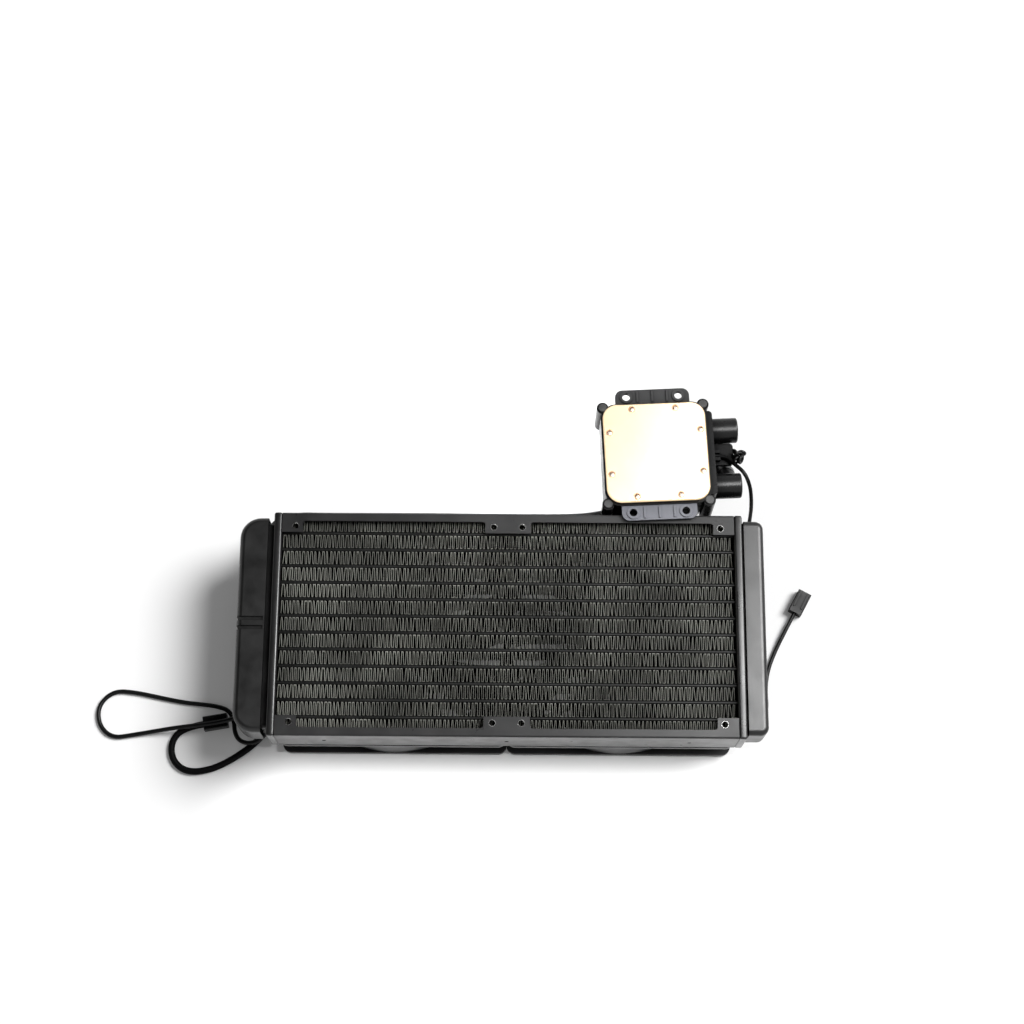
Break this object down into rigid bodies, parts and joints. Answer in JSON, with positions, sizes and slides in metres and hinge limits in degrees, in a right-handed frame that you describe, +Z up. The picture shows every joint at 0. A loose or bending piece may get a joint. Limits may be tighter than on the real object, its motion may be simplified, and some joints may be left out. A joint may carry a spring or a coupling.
{
  "type": "all in one cpu liquid cooler",
  "caption": "Liquid cooler for a processor: long radiator lying face up on its fans, pump block with its cold plate up beside it, joined by hoses, with fan and pump leads.",
  "frame": {"origin": "middle of the bottom of the box round the rigid pieces, on the surface that the fan screws stand on", "axes": "+X along the radiator from the tank with the ports to the plain tank, +Y from the radiator towards the pump, +Z up, the way the cold plate faces"},
  "size_m": [0.3894, 0.2029, 0.06],
  "materials": {
    "radiator_black": "satin black paint on aluminium",
    "core_dark": "thin black paint on aluminium",
    "fan_plastic": "fine matte",
    "ferrite": "matte",
    "steel": "satin",
    "bronze": "satin",
    "stator_steel": "satin",
    "circuit_board": "gloss",
    "black_screw": "black zinc",
    "copper": "fine ground",
    "seal_rubber": "matte",
    "pump_plastic": "satin",
    "impeller_plastic": "matte",
    "ear_metal": "satin dark coating",
    "clamp_steel": "black coating",
    "hose_rubber": "matte",
    "lead_jacket": "satin",
    "connector_plastic": "satin"
  },
  "bodies": {
    "cooler": {"cable_tie": "connector_plastic", "cold_plate": "copper", "ear_back": "ear_metal", "ear_front": "ear_metal", "elbow_back": "pump_plastic", "elbow_front": "pump_plastic", "fan_left_board": "circuit_board", "fan_left_frame": "fan_plastic", "fan_left_sleeve": "bronze", "fan_left_stator": "stator_steel", "fan_right_board": "circuit_board", "fan_right_frame": "fan_plastic", "fan_right_sleeve": "bronze", "fan_right_stator": "stator_steel", "fan_screws": "black_screw", "fin_rows": "core_dark", "flat_tubes": "core_dark", "header_left": "radiator_black", "header_right": "radiator_black", "hose_clamps": "clamp_steel", "hose_lower": "hose_rubber", "hose_upper": "hose_rubber", "housing_screws": "steel", "impeller_shaft": "steel", "lead_left_fan": "lead_jacket", "lead_pump": "lead_jacket", "lead_right_fan": "lead_jacket", "plate_screws": "steel", "plate_seal": "seal_rubber", "plug_left_fan": "connector_plastic", "plug_pump": "connector_plastic", "plug_right_fan": "connector_plastic", "port_back": "radiator_black", "port_front": "radiator_black", "pump_board": "circuit_board", "pump_cap": "pump_plastic", "pump_housing": "pump_plastic", "pump_stator": "stator_steel", "side_rail_back": "radiator_black", "side_rail_front": "radiator_black", "tank_baffle": "radiator_black", "tank_left": "radiator_black", "tank_right": "radiator_black"},
    "fan_left_wheel": {"fan_left_rotor": "fan_plastic", "fan_left_magnet": "ferrite", "fan_left_shaft": "steel"},
    "fan_right_wheel": {"fan_right_rotor": "fan_plastic", "fan_right_magnet": "ferrite", "fan_right_shaft": "steel"},
    "impeller_wheel": {"impeller": "impeller_plastic"}
  },
  "joints": [
    {"name": "fan_left_spin", "type": "hinge", "parent": "cooler", "child": "fan_left_wheel", "pos_m": [-0.05675, -0.03508, 0.0022], "axis": [0, 0, 1], "continuous": true},
    {"name": "fan_right_spin", "type": "hinge", "parent": "cooler", "child": "fan_right_wheel", "pos_m": [0.06325, -0.03508, 0.0022], "axis": [0, 0, 1], "continuous": true},
    {"name": "impeller_spin", "type": "hinge", "parent": "cooler", "child": "impeller_wheel", "pos_m": [0.08195, 0.05822, 0.045], "axis": [0, 0, 1], "continuous": true}
  ]
}
